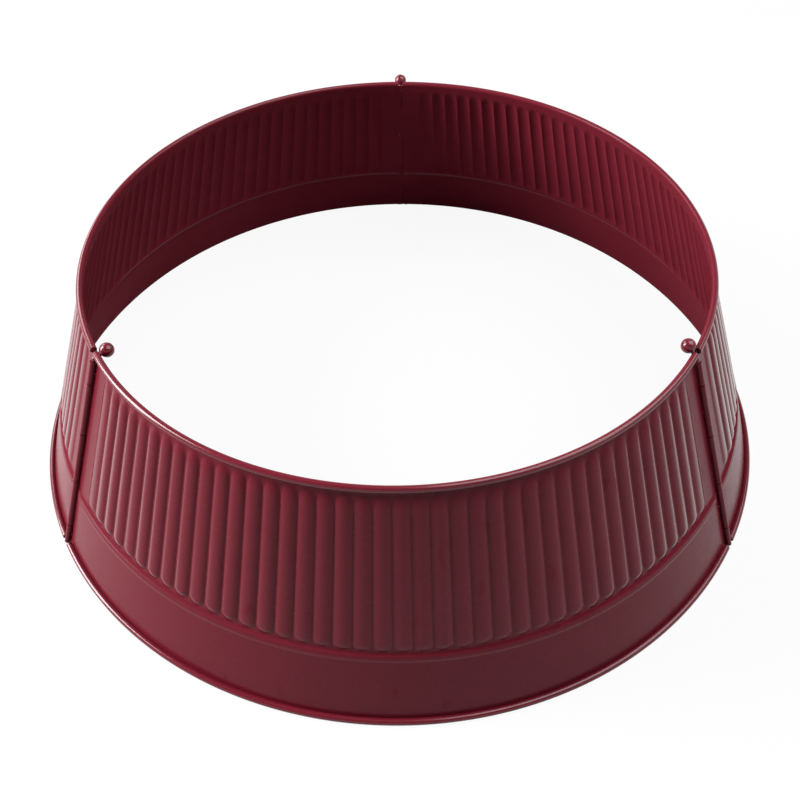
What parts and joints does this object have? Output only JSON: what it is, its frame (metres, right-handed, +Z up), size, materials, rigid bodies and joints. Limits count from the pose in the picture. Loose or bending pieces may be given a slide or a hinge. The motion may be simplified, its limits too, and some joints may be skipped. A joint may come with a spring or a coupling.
{
  "type": "christmas tree collar",
  "caption": "Burgundy painted metal tree collar: a tapered ring of hinged, vertically ribbed panels with rolled rims and ball-topped hinge pins, open at top and bottom.",
  "frame": {"origin": "centre of the ring at floor level", "axes": "+Z up along the axis of the ring; -Y towards the middle of the front panel; +X to the right seen from the front"},
  "size_m": [0.66, 0.6599, 0.2041],
  "materials": {
    "burgundy_paint": "satin"
  },
  "bodies": {
    "front_panel": {"front_panel": "burgundy_paint"},
    "left_panel": {"left_panel": "burgundy_paint"},
    "right_panel": {"right_panel": "burgundy_paint"},
    "front_left_pin": {"front_left_pin_wire": "burgundy_paint", "front_left_pin_ball": "burgundy_paint"},
    "front_right_pin": {"front_right_pin_wire": "burgundy_paint", "front_right_pin_ball": "burgundy_paint"},
    "back_pin": {"back_pin_wire": "burgundy_paint", "back_pin_ball": "burgundy_paint"}
  },
  "joints": [
    {"name": "left_swing", "type": "hinge", "parent": "front_panel", "child": "left_panel", "pos_m": [-0.28412, -0.16404, 0], "axis": [0.2928, 0.1691, 0.9411], "range_deg": [0, 80]},
    {"name": "right_swing", "type": "hinge", "parent": "front_panel", "child": "right_panel", "pos_m": [0.28412, -0.16404, 0], "axis": [0.2928, -0.1691, -0.9411], "range_deg": [0, 80]},
    {"name": "front_left_pin_slide", "type": "slide", "parent": "front_panel", "child": "front_left_pin", "axis": [0.2928, 0.1691, 0.9411], "range_m": [0, 0.205]},
    {"name": "front_right_pin_slide", "type": "slide", "parent": "front_panel", "child": "front_right_pin", "axis": [-0.2928, 0.1691, 0.9411], "range_m": [0, 0.205]},
    {"name": "back_pin_slide", "type": "slide", "parent": "left_panel", "child": "back_pin", "axis": [0, -0.3381, 0.9411], "range_m": [0, 0.205]}
  ],
  "couplings": [
    {"joint": "right_swing", "follows": "left_swing", "ratio": 1}
  ]
}
